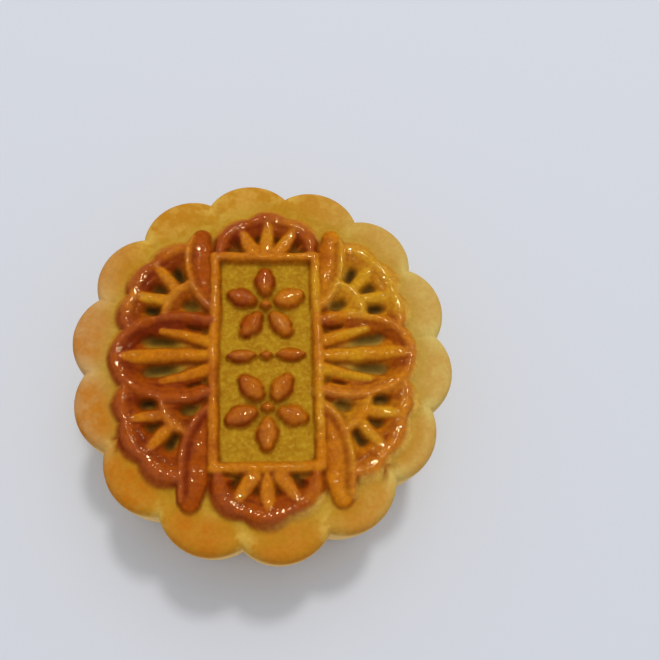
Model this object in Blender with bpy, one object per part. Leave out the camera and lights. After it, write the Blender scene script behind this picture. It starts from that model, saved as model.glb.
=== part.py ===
"""Round baked mooncake with a scalloped side and a moulded relief on its top.

One closed solid, in metres, +Z up. The origin is the centre of the flat base.
The relief's long frame runs along Y, with a fan beyond each end, a veined petal on
each side, and a smaller fan and a leaf in each corner.
"""

import collections
import math

import bmesh
import bpy

MM = 0.001

# Driving sizes of the cake
CAKE_RADIUS = 35.5 * MM
CREST_HEIGHT = 25.0 * MM
RELIEF_DEPTH = 1.6 * MM
GROUND = CREST_HEIGHT - RELIEF_DEPTH

# The scalloped side: circular lobes that meet in grooves
LOBES = 14
LOBE_RADIUS = 9.5 * MM
FIRST_GROOVE = math.radians(5.6)
STEPS_PER_LOBE = 8

# The side from below: a rounded foot, a belly that leans out, a tight shoulder, a flat rim
FOOT_EDGE = 2.0 * MM
FOOT_STEPS = 2
FOOT_SCALLOP = 0.8
TAPER = 0.9 * MM
BELLY_HEIGHT = 10.0 * MM
SHOULDER_WIDTH = 3.6 * MM
SHOULDER_DROP = 5.4 * MM
SHOULDER_STEPS = 4
GROOVE_DIP = 0.6 * MM
RIM_INSIDE = 27.5 * MM
RIM_SCALLOP = 0.3

# How unevenly the soft cake settled: shares of the radius that turn two and three times
SETTLED_TWICE = (-0.019, 0.004)
SETTLED_THRICE = (0.002, 0.009)

# The relief's middle, and the half-widths of its ridges
RELIEF_CENTRE = (0.1 * MM, -0.6 * MM)
OUTLINE = 1.25 * MM
BAR = 0.95 * MM
SPOKE_FOOT = 1.15 * MM
SPOKE_TIP = 0.85 * MM
HUB = 0.95 * MM
VEIN = 1.15 * MM
SEGMENT = 1.9 * MM

# How far the lower ridges stay below the crests
SPOKE_SINK = 0.25 * MM
BLADE_SINK = 0.5 * MM

# The long frame, whose end at -Y is pressed a little further out
FRAME_HALF_WIDTH = 9.3 * MM
FRAME_FAR_END = 19.4 * MM
FRAME_NEAR_END = 20.0 * MM

# The fan beyond an end of the frame: its outline and spokes, measured out from that end
END_FAN_FOOT = (8.4 * MM, 1.1 * MM)
END_FAN_CUSP = (3.4 * MM, 7.4 * MM)
END_FAN_BULGES = (-1.7 * MM, -1.0 * MM, -1.7 * MM)
END_SPOKE_FEET = 2.2 * MM
END_SPOKE_TIPS = (5.3 * MM, 5.8 * MM)
END_SPOKE_LENGTH = 6.8 * MM

# The petal beside the frame: an ellipse with three veins
PETAL_CENTRE = 15.5 * MM
PETAL_REACH = 10.9 * MM
PETAL_RISE = 7.8 * MM
PETAL_STEPS = 22
PETAL_ROOT = 9.8 * MM
SIDE_VEIN_ROOT = 2.2 * MM
SIDE_VEIN_TIP = (22.3 * MM, 5.0 * MM)
SIDE_VEIN_BULGE = 0.9 * MM
SIDE_VEIN = 1.0 * MM

# The fan in a corner: a scalloped outline round an arched hub, and two spokes
CORNER_CUSPS = ((24.6, 5.4), (24.0, 11.6), (20.5, 17.9), (14.4, 21.4))
CORNER_BULGES = (-0.8 * MM, -1.0 * MM, -1.2 * MM)
HUB_ENDS = ((18.1, 8.4), (13.9, 13.9))
HUB_BULGE = -1.1 * MM
CORNER_SPOKES = (((17.7, 10.6), (23.7, 11.5)), ((16.4, 12.8), (20.2, 17.5)))

# The leaf between the frame and a corner fan: its raised edge and its lower blade
LEAF_EDGE = ((10.0, 8.8), (13.9, 14.6), (14.2, 22.4))
LEAF_EDGE_BULGES = (-0.7 * MM, -0.3 * MM)
BLADE_LINE = ((10.7, 9.6), (12.3, 17.0), (12.7, 25.2))
BLADE_BULGES = (-0.4 * MM, -0.2 * MM)
BLADE_WIDTH = 1.75 * MM
BLADE_ENDS = 0.25

# The ornaments inside the frame
ROSETTE_OFFSET = 9.7 * MM
ROSETTE_PETALS = 5
ROSETTE_LINE = (2.2 * MM, 7.0 * MM)
ROSETTE_STEPS = 6
ROSETTE_WIDTH = 1.85 * MM
ROSETTE_ENDS = 0.3
BEAD_LENGTH = 1.3 * MM
BEAD_WIDTH = 1.4 * MM
SPRIG_LINE = (2.0 * MM, 6.9 * MM)
SPRIG_WIDTH = 1.15 * MM
SPRIG_BEAD = 1.1 * MM

# Cross-sections in half-widths, from the right of the line to its left: a soft top on walls
# that reach down into the cake. An outline slopes gently to its left, which is its inside
SECTION_TOP = 0.92
RIDGE_TOP = ((1.0, 0.0), (0.84, 0.6), (0.36, 0.92), (-0.36, 0.92), (-0.84, 0.6), (-1.0, 0.0))
OUTLINE_TOP = ((1.0, 0.0), (0.84, 0.6), (0.36, 0.92), (-0.3, 0.85), (-1.2, 0.4), (-2.3, -0.45))
SECTION_ROOT = -3.4
ROOT_FLARE = 1.1

CRUST_COLOUR = (0.50, 0.23, 0.04, 1.0)
CRUST_ROUGHNESS = 0.42
CREASE = math.radians(40)

Ridge = collections.namedtuple("Ridge", "line widths sink top")


def clear_scene():
    """Remove whatever the file holds, so that the script can be run again."""
    for obj in list(bpy.data.objects):
        bpy.data.objects.remove(obj)


def make_collection(name):
    """A collection of the scene with this name."""
    made = bpy.data.collections.new(name)
    bpy.context.scene.collection.children.link(made)
    return made


def crust_material():
    """Baked, egg-washed pastry."""
    material = bpy.data.materials.new("baked_crust")
    material.use_nodes = True
    shader = material.node_tree.nodes["Principled BSDF"]
    shader.inputs["Base Color"].default_value = CRUST_COLOUR
    shader.inputs["Roughness"].default_value = CRUST_ROUGHNESS
    shader.inputs["Metallic"].default_value = 0.0
    return material


def scallop_depth(angle):
    """How far the scalloped outline lies inside the cake's full radius, in the direction angle."""
    pitch = 2 * math.pi / LOBES
    offset = (angle - FIRST_GROOVE) % pitch - pitch / 2
    centre = CAKE_RADIUS - LOBE_RADIUS
    across = centre * math.sin(offset)
    return CAKE_RADIUS - centre * math.cos(offset) - math.sqrt(LOBE_RADIUS**2 - across**2)


def settled(angle):
    """The cake's width in this direction, as a share of an even cake's."""
    even, odd = SETTLED_TWICE
    twice = even * math.cos(2 * angle) + odd * math.sin(2 * angle)
    even, odd = SETTLED_THRICE
    return 1 + twice + even * math.cos(3 * angle) + odd * math.sin(3 * angle)


def side_profile():
    """Each ring from the base to the rim as (radius, height, share of the scallops, dip in a groove)."""
    rings = []
    foot = CAKE_RADIUS - TAPER
    for step in range(FOOT_STEPS + 1):
        turn = math.pi / 2 * step / FOOT_STEPS
        scallop = FOOT_SCALLOP + (1 - FOOT_SCALLOP) * math.sin(turn)
        radius = foot - FOOT_EDGE * (1 - math.sin(turn))
        rings.append((radius, FOOT_EDGE * (1 - math.cos(turn)), scallop, 0.0))
    rings.append((CAKE_RADIUS - TAPER / 4, BELLY_HEIGHT, 1.0, 0.0))
    for step in range(SHOULDER_STEPS + 1):
        turn = math.pi / 2 * step / SHOULDER_STEPS
        radius = CAKE_RADIUS - SHOULDER_WIDTH * (1 - math.cos(turn))
        height = GROUND - SHOULDER_DROP * (1 - math.sin(turn))
        rings.append((radius, height, 1.0, GROOVE_DIP * math.sin(turn)))
    rings.append((RIM_INSIDE, GROUND, RIM_SCALLOP, 0.0))
    return rings


def build_body(collection):
    """The cake without its relief: a loft of scalloped rings with a flat base and a flat top."""
    around = LOBES * STEPS_PER_LOBE
    angles = [FIRST_GROOVE + 2 * math.pi * step / around for step in range(around)]
    deepest = scallop_depth(FIRST_GROOVE)
    shape = bmesh.new()
    rings = []
    for radius, height, scallop, dip in side_profile():
        ring = []
        for angle in angles:
            depth = scallop_depth(angle)
            reach = (radius - scallop * depth) * settled(angle)
            drop = dip * (depth / deepest) ** 2
            spot = (reach * math.cos(angle), reach * math.sin(angle), height - drop)
            ring.append(shape.verts.new(spot))
        rings.append(ring)
    for lower, upper in zip(rings, rings[1:]):
        for step in range(around):
            after = (step + 1) % around
            shape.faces.new((lower[step], lower[after], upper[after], upper[step]))
    shape.faces.new(list(reversed(rings[0])))
    shape.faces.new(rings[-1])
    mesh = bpy.data.meshes.new("cake_body")
    shape.to_mesh(mesh)
    shape.free()
    body = bpy.data.objects.new("mooncake", mesh)
    collection.objects.link(body)
    return body


def arc(start, end, bulge=0.0):
    """Points of the circular arc from start to end whose middle lies bulge to the left of the chord."""
    chord = math.dist(start, end)
    along = ((end[0] - start[0]) / chord, (end[1] - start[1]) / chord)
    left = (-along[1], along[0])
    steps = max(1, round(chord * (1 + 2 * (bulge / chord) ** 2) / SEGMENT))
    half_turn = 2 * math.atan(2 * bulge / chord)
    points = []
    for step in range(steps + 1):
        share = step / steps
        forward, aside = share * chord, 0.0
        if bulge:
            radius = (chord**2 / 4 + bulge**2) / (2 * bulge)
            turn = half_turn * (2 * share - 1)
            forward = chord / 2 + radius * math.sin(turn)
            aside = radius * math.cos(turn) - radius + bulge
        x = start[0] + along[0] * forward + left[0] * aside
        y = start[1] + along[1] * forward + left[1] * aside
        points.append((x, y))
    return points


def chain(corners, bulges):
    """Arcs from corner to corner, as one line of points."""
    points = [corners[0]]
    for start, end, bulge in zip(corners, corners[1:], bulges):
        points += arc(start, end, bulge)[1:]
    return points


def in_mm(pairs):
    """These (x, y) pairs of millimetres in metres."""
    return [(x * MM, y * MM) for x, y in pairs]


def mirrored(ridges, side_x, side_y):
    """These ridges on the sides with these signs, where each keeps its inside on its left."""
    turned = -1 if side_x * side_y < 0 else 1
    return [
        Ridge(
            [(x * side_x, y * side_y) for x, y in ridge.line][::turned],
            ridge.widths[::turned],
            ridge.sink,
            ridge.top,
        )
        for ridge in ridges
    ]


def even(line, width, sink=0.0):
    """A ridge that keeps its half-width."""
    return Ridge(line, [width] * len(line), sink, RIDGE_TOP)


def outlined(line):
    """The ridge round a fan or a petal, whose inside is on the left of the line."""
    return Ridge(line, [OUTLINE] * len(line), 0.0, OUTLINE_TOP)


def growing(line, first, final, sink=0.0):
    """A ridge whose half-width changes evenly from first to final."""
    last = len(line) - 1
    widths = [first + (final - first) * i / last for i in range(last + 1)]
    return Ridge(line, widths, sink, RIDGE_TOP)


def swollen(line, width, ends, sink=0.0):
    """A ridge of this half-width at its middle, and of ends times that at its ends."""
    last = len(line) - 1
    shares = [ends + (1 - ends) * math.sin(math.pi * i / last) for i in range(last + 1)]
    return Ridge(line, [width * share for share in shares], sink, RIDGE_TOP)


def frame_ridges():
    """The four bars of the long frame."""
    wide, far, near = FRAME_HALF_WIDTH, FRAME_FAR_END, FRAME_NEAR_END
    sides = [[(x, -near - BAR), (x, far + BAR)] for x in (-wide, wide)]
    ends = [[(-wide, y), (wide, y)] for y in (-near, far)]
    return [even(line, BAR) for line in sides + ends]


def end_fan_ridges(frame_end):
    """The three-lobed fan beyond the frame's end at +Y, with its three spokes."""
    foot_x, foot_y = END_FAN_FOOT[0], frame_end + END_FAN_FOOT[1]
    cusp_x, cusp_y = END_FAN_CUSP[0], frame_end + END_FAN_CUSP[1]
    tip_x, tip_y = END_SPOKE_TIPS[0], frame_end + END_SPOKE_TIPS[1]
    corners = [(foot_x, foot_y), (cusp_x, cusp_y), (-cusp_x, cusp_y), (-foot_x, foot_y)]
    spokes = [arc((0.0, foot_y), (0.0, foot_y + END_SPOKE_LENGTH))]
    for side in (-1, 1):
        spokes.append(arc((side * END_SPOKE_FEET, foot_y), (side * tip_x, tip_y)))
    ridges = [outlined(chain(corners, END_FAN_BULGES))]
    return ridges + [growing(spoke, SPOKE_FOOT, SPOKE_TIP, SPOKE_SINK) for spoke in spokes]


def petal_ridges():
    """The veined petal on the frame's side at +X."""
    start = math.acos((PETAL_ROOT - PETAL_CENTRE) / PETAL_REACH)
    turns = [start * (2 * i / PETAL_STEPS - 1) for i in range(PETAL_STEPS + 1)]
    outline = [
        (PETAL_CENTRE + PETAL_REACH * math.cos(turn), PETAL_RISE * math.sin(turn)) for turn in turns
    ]
    ridges = [outlined(outline)]
    vein = arc((PETAL_ROOT, 0.0), (PETAL_CENTRE + PETAL_REACH, 0.0))
    ridges.append(swollen(vein, VEIN, 0.75, SPOKE_SINK))
    vein = arc((PETAL_ROOT, SIDE_VEIN_ROOT), SIDE_VEIN_TIP, SIDE_VEIN_BULGE)
    upper = [swollen(vein, SIDE_VEIN, 0.8, SPOKE_SINK)]
    return ridges + upper + mirrored(upper, 1, -1)


def corner_fan_ridges():
    """The smaller fan in the corner at +X and +Y, round an arched hub."""
    hub = arc(*in_mm(HUB_ENDS), HUB_BULGE)
    ridges = [outlined(chain(in_mm(CORNER_CUSPS), CORNER_BULGES)), even(hub, HUB)]
    for ends in CORNER_SPOKES:
        ridges.append(even(arc(*in_mm(ends)), SPOKE_TIP, SPOKE_SINK))
    return ridges


def leaf_ridges():
    """The long leaf between the frame and the corner fan at +X and +Y."""
    edge = chain(in_mm(LEAF_EDGE), LEAF_EDGE_BULGES)
    blade = chain(in_mm(BLADE_LINE), BLADE_BULGES)
    return [even(edge, HUB), swollen(blade, BLADE_WIDTH, BLADE_ENDS, BLADE_SINK)]


def bead(centre_y, length, width):
    """A round bead on the frame's long axis."""
    line = [(share * length, centre_y) for share in (-1.0, -0.4, 0.4, 1.0)]
    return Ridge(line, [width * share for share in (0.5, 1.0, 1.0, 0.5)], 0.0, RIDGE_TOP)


def rosette_ridges(centre_y, turn):
    """Almond-shaped petals round a bead, the ornament of one half of the frame."""
    inner, outer = ROSETTE_LINE
    ridges = [bead(centre_y, BEAD_LENGTH, BEAD_WIDTH)]
    for petal in range(ROSETTE_PETALS):
        angle = turn + 2 * math.pi * petal / ROSETTE_PETALS
        line = []
        for step in range(ROSETTE_STEPS + 1):
            reach = inner + (outer - inner) * step / ROSETTE_STEPS
            line.append((reach * math.cos(angle), centre_y + reach * math.sin(angle)))
        ridges.append(swollen(line, ROSETTE_WIDTH, ROSETTE_ENDS))
    return ridges


def sprig_ridges():
    """A bead between two leaves, across the middle of the frame."""
    inner, outer = SPRIG_LINE
    leaf = swollen(arc((inner, 0.0), (outer, 0.0)), SPRIG_WIDTH, 0.4)
    return [bead(0.0, SPRIG_BEAD, SPRIG_BEAD), leaf, *mirrored([leaf], -1, 1)]


def all_ridges():
    """Every ridge of the relief, about the relief's own centre."""
    ridges = frame_ridges() + sprig_ridges()
    for side, frame_end in ((-1, FRAME_NEAR_END), (1, FRAME_FAR_END)):
        ridges += mirrored(end_fan_ridges(frame_end), 1, side)
        ridges += mirrored(petal_ridges(), side, 1)
        ridges += rosette_ridges(side * ROSETTE_OFFSET, side * math.pi / 2)
        for other in (-1, 1):
            ridges += mirrored(corner_fan_ridges() + leaf_ridges(), side, other)
    return ridges


def section_guide(name, top, collection):
    """The closed cross-section that ridges with this top are swept with, at a half-width of one."""
    right, left = top[0][0] * ROOT_FLARE, top[-1][0] * ROOT_FLARE
    outline = [(right, SECTION_ROOT), *top, (left, SECTION_ROOT)]
    curve = bpy.data.curves.new(name, "CURVE")
    curve.dimensions = "2D"
    spline = curve.splines.new("POLY")
    spline.points.add(len(outline) - 1)
    for point, (x, y) in zip(spline.points, outline):
        point.co = (x, y, 0.0, 1.0)
    spline.use_cyclic_u = True
    section = bpy.data.objects.new(name, curve)
    section.hide_render = True
    section.display_type = "WIRE"
    collection.objects.link(section)
    return section


def build_ridge(name, ridge, section, collection):
    """One ridge as a mesh, swept along its line with its top just under the crest height."""
    curve = bpy.data.curves.new(name, "CURVE")
    curve.dimensions = "3D"
    curve.twist_mode = "Z_UP"
    curve.bevel_mode = "OBJECT"
    curve.bevel_object = section
    curve.use_fill_caps = True
    spline = curve.splines.new("POLY")
    spline.points.add(len(ridge.line) - 1)
    for point, (x, y), width in zip(spline.points, ridge.line, ridge.widths):
        height = CREST_HEIGHT - ridge.sink - SECTION_TOP * width
        point.co = (x + RELIEF_CENTRE[0], y + RELIEF_CENTRE[1], height, 1.0)
        point.radius = width
    swept = bpy.data.objects.new(name, curve)
    collection.objects.link(swept)
    return as_mesh(swept, collection)


def as_mesh(swept, collection):
    """The swept curve as a closed mesh object, in its place."""
    graph = bpy.context.evaluated_depsgraph_get()
    mesh = bpy.data.meshes.new_from_object(swept.evaluated_get(graph))
    shape = bmesh.new()
    shape.from_mesh(mesh)
    bmesh.ops.remove_doubles(shape, verts=shape.verts, dist=1e-6)
    bmesh.ops.recalc_face_normals(shape, faces=shape.faces)
    shape.to_mesh(mesh)
    shape.free()
    solid = bpy.data.objects.new(swept.name + "_solid", mesh)
    solid.matrix_world = swept.matrix_world
    collection.objects.link(solid)
    bpy.data.objects.remove(swept)
    return solid


def fuse(body, collection):
    """Join every solid of the collection to the body, and remove them."""
    union = body.modifiers.new("relief", "BOOLEAN")
    union.operation = "UNION"
    union.operand_type = "COLLECTION"
    union.collection = collection
    union.solver = "MANIFOLD"
    graph = bpy.context.evaluated_depsgraph_get()
    fused = bpy.data.meshes.new_from_object(body.evaluated_get(graph))
    body.modifiers.clear()
    body.data = fused
    for obj in list(collection.objects):
        bpy.data.objects.remove(obj)
    bpy.data.collections.remove(collection)


def main():
    clear_scene()
    cake = make_collection("five_nut_mooncake")
    guides = make_collection("guides")
    relief = make_collection("relief")
    body = build_body(cake)
    sections = {
        RIDGE_TOP: section_guide("ridge_section", RIDGE_TOP, guides),
        OUTLINE_TOP: section_guide("outline_section", OUTLINE_TOP, guides),
    }
    for number, ridge in enumerate(all_ridges()):
        build_ridge(f"ridge_{number:02d}", ridge, sections[ridge.top], relief)
    fuse(body, relief)
    body.data.materials.clear()
    body.data.materials.append(crust_material())
    body.data.shade_smooth()
    body.data.set_sharp_from_angle(angle=CREASE)


main()
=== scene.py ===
"""Looks of the baked mooncake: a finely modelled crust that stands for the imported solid, its
pastry material, a pale table, soft light from the far side and the photograph's camera.

Lengths are in millimetres until a mesh, a shader, a light or the camera is made, where MM turns
them to metres. A pair that names a range is read from its first number to its second, which may
be the smaller one.
"""

import collections
import math

import bpy
import numpy as np
from mathutils import Matrix, Vector


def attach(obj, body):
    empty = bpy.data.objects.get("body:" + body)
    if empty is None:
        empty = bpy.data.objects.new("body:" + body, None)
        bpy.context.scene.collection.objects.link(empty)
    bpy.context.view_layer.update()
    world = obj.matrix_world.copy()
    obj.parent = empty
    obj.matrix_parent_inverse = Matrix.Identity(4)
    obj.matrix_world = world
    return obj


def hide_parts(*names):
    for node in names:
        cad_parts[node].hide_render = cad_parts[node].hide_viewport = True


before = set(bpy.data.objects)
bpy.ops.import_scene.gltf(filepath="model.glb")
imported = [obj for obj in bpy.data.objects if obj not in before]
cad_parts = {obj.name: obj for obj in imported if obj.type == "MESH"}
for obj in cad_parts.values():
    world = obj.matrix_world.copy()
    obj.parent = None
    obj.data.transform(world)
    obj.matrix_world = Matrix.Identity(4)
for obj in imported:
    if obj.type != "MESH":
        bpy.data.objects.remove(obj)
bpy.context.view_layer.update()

MM = 0.001

# The body, as the solid has it
CAKE_RADIUS = 35.5
CREST_HEIGHT = 25.0
RELIEF_DEPTH = 1.6
GROUND = CREST_HEIGHT - RELIEF_DEPTH
LOBES = 14
LOBE_RADIUS = 9.5
FIRST_GROOVE = math.radians(5.6)
FOOT_EDGE = 2.0
FOOT_SCALLOP = 0.8
TAPER = 0.9
SHOULDER_WIDTH = 3.6
SHOULDER_DROP = 5.4
SETTLED_TWICE = (-0.019, 0.004)
SETTLED_THRICE = (0.002, 0.009)

# The body's finer form: how tight the shoulder is, how deep and how narrow the grooves run on over
# the rim, the radius where they begin, and how fast the scallops fade towards the middle
SHOULDER_POWER = 0.50
GROOVE_DIP = 0.30
GROOVE_POWER = 3
VALLEY_START = 29.6
SCALLOP_FADE = 6

# How fine the crust is: cells across its top, and rings down its side
CELLS = 260
SHOULDER_RINGS = 11
SIDE_RINGS = 7
FOOT_RINGS = 4

# How uneven the crust is. Waves are a sum of WAVE_COUNT ripples, as long as their length times
# shares from WAVE_SPREAD. They set in up a ridge over the heights WAVY_RIDGE, and down the side,
# which sinks by SIDE_SINK as well, over WAVY_SIDE
Wave = collections.namedtuple("Wave", "height length seed")
WAVE_COUNT = 9
WAVE_SPREAD = (0.7, 1.6)
TOP_WAVES = Wave(0.08, 7.0, 21)
TOP_FINE_WAVES = Wave(0.04, 2.6, 22)
RIDGE_WAVES = Wave(0.10, 4.5, 13)
RIDGE_FINE_WAVES = Wave(0.03, 1.3, 16)
WAVY_RIDGE = (0.3, 1.2)
SIDE_WAVES = Wave(0.035, 9.0, 31)
SIDE_SINK = 0.05
WAVY_SIDE = (22.5, 17.0)

# How the relief is pressed askew: long and short waves across and along it, and how far its far
# end leans, which sets in along the cake over LEANING
SKEW_ACROSS = Wave(0.20, 16.0, 11)
SKEW_ALONG = Wave(0.20, 16.0, 12)
WOBBLE_ACROSS = Wave(0.09, 3.2, 14)
WOBBLE_ALONG = Wave(0.09, 3.2, 15)
FAR_FAN_LEAN = 0.5
LEANING = (18.0, 26.0)

# The channel pressed round the relief, and how far its colour reaches: olive from less browning and from
# painted shade by the relief's walls
CHANNEL_DEPTH = 0.22
CHANNEL_WIDTH = 1.6
CHANNEL_TINT_WIDTH = 2.2

# How softly ridges run into each other and into the ground, how much the pressed top is smoothed,
# and how far it stays below the solid's top
RIDGE_FILLET = 0.35
GROUND_FILLET = 0.50
SOFTENING = 0.35
TOP_MARGIN = 0.02

# The relief's middle, the half-widths of its ridges and shares of them, how far spokes and blades
# lie below its crests, and how far apart the points of an arc are
RELIEF_CENTRE = (0.1, -0.6)
OUTLINE = 1.25
CUSP_SHARE = 0.8
LOBE_SHARE = 1.35
BAR = 1.15
SPOKE_FOOT = 1.6
SPOKE_TIP = 1.25
CORNER_SPOKE = 1.25
HUB = 1.0
VEIN = 1.55
NARROW_END = 0.6
SPOKE_SINK = 0.25
BLADE_SINK = 0.60
ARC_STEP = 0.6

# The long frame
FRAME_HALF_WIDTH = 9.3
FRAME_FAR_END = 19.4
FRAME_NEAR_END = 20.0

# The fan beyond an end of the frame, measured out from that end
END_FAN_FOOT = (8.4, 1.1)
END_FAN_CUSP = (3.4, 7.4)
END_FAN_BULGES = (-1.6, -0.85, -1.6)
END_SPOKE_FEET = 2.2
END_SPOKE_TIPS = (5.3, 5.8)
END_SPOKE_LENGTH = 6.8
ALMOND = 1.5
ALMOND_ENDS = 0.45

# The petal beside the frame
PETAL_CENTRE = 15.5
PETAL_REACH = 10.9
PETAL_RISE = 7.8
PETAL_STEPS = 60
PETAL_ROOT = 9.8
VEIN_ENDS = 0.75
SIDE_VEIN_ROOT = 2.5
SIDE_VEIN_TIP = (18.4, 4.7)
SIDE_VEIN_BULGE = 0.2
SIDE_VEIN = 1.45

# The fan in a corner
CORNER_CUSPS = ((24.6, 5.4), (24.0, 11.6), (20.5, 17.9), (14.4, 21.4))
CORNER_BULGES = (-0.6, -0.8, -0.9)
HUB_ENDS = ((18.1, 8.4), (13.9, 13.9))
HUB_BULGE = -1.1
CORNER_SPOKES = (((17.7, 10.6), (23.7, 11.5)), ((16.4, 12.8), (20.2, 17.5)))

# The leaf between the frame and a corner fan: the rib along its outer edge, which ends LEAF_BREADTH
# beside the leaf's tip, and the flat blade inside it with its half-width at shares of its length
LEAF_EDGE = ((10.0, 9.4), (13.8, 14.8), (14.5, 21.0))
LEAF_EDGE_BULGES = (-0.7, -0.3, -0.1)
LEAF_BREADTH = 1.5
BLADE_LINE = ((11.0, 11.4), (12.2, 17.0), (12.4, 22.0))
BLADE_BULGES = (-0.3, -0.1, 0.0)
BLADE_WIDTHS = (1.0, 2.5, 2.6, 1.7)
BLADE_STATIONS = (0.0, 0.4, 0.75, 1.0)
NEAR_LEAF_TIP = (12.7, 25.4)
FAR_LEAF_TIP = (12.3, 23.6)

# The ornaments inside the frame, where a bead has a half-length and a half-width
ROSETTE_OFFSET = 9.7
ROSETTE_PETALS = 5
ROSETTE_LINE = (3.0, 6.3)
ROSETTE_WIDTH = 1.95
ROSETTE_ENDS = 0.66
ROSETTE_BEAD = (0.3, 1.45)
SPRIG_LINE = (2.2, 6.6)
SPRIG_WIDTH = 1.25
SPRIG_ENDS = 0.4
SPRIG_BEAD = (0.55, 1.1)
BEAD_ENDS = 0.6

# Hollows pressed between the ridges, with their half-length and half-width, the turn of their length in
# degrees and how dark a painted shadow they hold: beside the spokes of an end fan, in a corner fan and by
# the veins of a petal. The ground sinks by GROUND_SHARE of their depth, and their painted shadow lies
# DARK_SHIFT further from the camera, on the side that their far wall shades from the lights. The higher a
# power is, the more squarely a hollow ends
Hollow = collections.namedtuple("Hollow", "x y length width turn darkness")
HOLLOW_DEPTH = 1.35
GROUND_SHARE = 0.4
DARK_SHIFT = 0.45
LENGTHWISE_POWER = 4
SIDEWAYS_POWER = 3
END_HOLLOWS = (
    Hollow(1.5, 2.9, 1.7, 0.65, 78, 0.9),
    Hollow(5.3, 2.6, 1.3, 0.8, 40, 0.6),
)
CORNER_HOLLOWS = (
    Hollow(20.5, 8.7, 1.5, 0.85, 8, 1.0),
    Hollow(19.4, 12.7, 1.25, 1.0, 40, 0.7),
    Hollow(16.2, 15.6, 1.6, 0.9, 75, 1.0),
    Hollow(13.7, 9.7, 1.5, 0.95, 25, 0.7),
)
PETAL_HOLLOWS = (
    Hollow(18.9, 2.8, 3.4, 1.15, 6, 0.9),
    Hollow(12.6, 5.3, 1.6, 0.35, 12, 0.2),
)

# A kind of ridge: how far its wall reaches in half-widths, how much further its inner slope runs,
# how steeply each falls, and how brown the egg wash baked on it
Style = collections.namedtuple("Style", "wall slope wall_power slope_power browning")
EDGE = Style(1.34, 4.6, 1.5, 1.05, 1.0)
PETAL_EDGE = Style(1.28, 4.4, 1.5, 1.0, 1.0)
HUB_EDGE = Style(1.25, 4.6, 1.6, 1.1, 0.5)
LEAF_RIB = Style(1.25, 2.6, 1.6, 1.2, 0.70)
FRAME_BAR = Style(1.05, 0.0, 3.2, 3.2, 0.42)
SPOKE = Style(1.12, 0.0, 3.2, 3.2, 0.45)
RIB = Style(1.12, 0.0, 2.8, 2.8, 0.30)
BLADE = Style(1.15, 0.0, 4.5, 4.5, 0.88)
MOTIF = Style(1.14, 0.0, 2.3, 2.3, 0.80)

# A ridge: its middle line, the half-width at each of the line's points, its height and its kind.
# An inner slope sets in over SLOPE_TAPER from the line's ends, and MARGIN round a ridge is worked out
Ridge = collections.namedtuple("Ridge", "line widths rise style")
SLOPE_TAPER = 1.5
MARGIN = 8.0

# Low ripples along an inner slope, which begin at this distance from the crest
RIPPLES = 0.045
RIPPLE_PITCH = 1.15
RIPPLE_START = (0.4, 1.2)

# A ridge falls no further beyond FALL_LIMIT times its reach. Its flank sets in between two shares of
# its fall, on a wall and on an inner slope, which loses SLOPE_FLANK_LOSS of it again further down
FALL_LIMIT = 3.0
WALL_FLANK = (0.06, 0.60)
SLOPE_FLANK = (0.02, 0.22)
SLOPE_FLANK_END = (0.35, 0.75)
SLOPE_FLANK_LOSS = 0.85

# How ridges share the places where they meet: a ridge's share grows with its height over SHARING,
# up to SHARING_LIMIT. Where there is no ridge, LEAST_WEIGHT, the level NO_RIDGE and the distance
# FAR_AWAY stand in
SHARING = 0.10
SHARING_LIMIT = 2.0
LEAST_WEIGHT = 1e-6
NO_RIDGE = -3.0
FAR_AWAY = 1e9

# What each millimetre beside a stretch of a line counts, where two stretches are equally near
TIE_BREAK = 1e-4

# Lifts over the ground between which a place becomes ridge and crest, and a hollow loses its painted
# shadow
RIDGE_LIFTS = (0.05, 0.6)
CREST_LIFTS = (1.10, 1.45)
PIT_LIFTS = (1.2, 0.2)

# Painted shade: how many cells round a place it is compared with, between which depths below them it
# takes painted shade, and how crowded with ridges it has to be, counted over CROWD_CELLS. Where ridges
# crowd, outer walls lose their own colour
HOLLOW_CELLS = 3
HOLLOW_DEPTHS = (0.10, 0.75)
HOLLOW_CROWD = (0.45, 0.75)
CREASE_CELLS = 1
CREASE_DEPTHS = (0.02, 0.16)
CREASE_CROWD = (0.66, 0.80)
CROWD_CELLS = 5
WALL_CROWD = (0.74, 0.88)

# Where the lobes are toasted: on a belt, on their crowns, most in one direction, and down the side
TOAST_BELT = (27.5, 31.0)
TOAST_CROWN = (0.1, 0.9)
TOAST_WAY = math.radians(232)
TOAST_LEAST = 0.35
TOASTED_SIDE = (14.0, 21.0)

# The camera that took the photograph: its place, a point it looks at, its upward direction, the
# nearest distance that it sees, and its lens
CAMERA_PLACE = (-0.571, -40.428, 141.604)
CAMERA_AIM = (11.66, 3.71, 25.0)
CAMERA_UP = (0.0089, 0.9349, 0.3548)
CAMERA_NEAREST = 5.0
SENSOR = 36.0
FOCAL_LENGTH = 37.64

# The lights, the point that they face, and the even light of the room
SoftBox = collections.namedtuple("SoftBox", "name place size power colour")
WINDOW = SoftBox("window", (180.0, 700.0, 1500.0), 1000.0, 3.8, (1.0, 0.99, 0.97))
CEILING_LAMP = SoftBox("ceiling_lamp", (170.0, 600.0, 1450.0), 180.0, 7.0, (1.0, 0.98, 0.94))
GLINT_LAMP = SoftBox("glint_lamp", (120.0, 560.0, 1450.0), 100.0, 13.5, (1.0, 0.78, 0.42))
LIT_POINT = (0.0, 0.0, 20.0)
ROOM_COLOUR = (0.95, 0.97, 1.0, 1.0)
ROOM_STRENGTH = 0.60

# The table, which lies just clear of the cake's base
TABLE_SIZE = 3000.0
TABLE_DROP = 0.2
TABLE_ROUGHNESS = 0.9


def smooth_step(start, end, value):
    """0 at start and before it, 1 at end and beyond it, and an even turn between them."""
    share = np.clip((value - start) / (end - start), 0.0, 1.0)
    return share * share * (3.0 - 2.0 * share)


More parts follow.
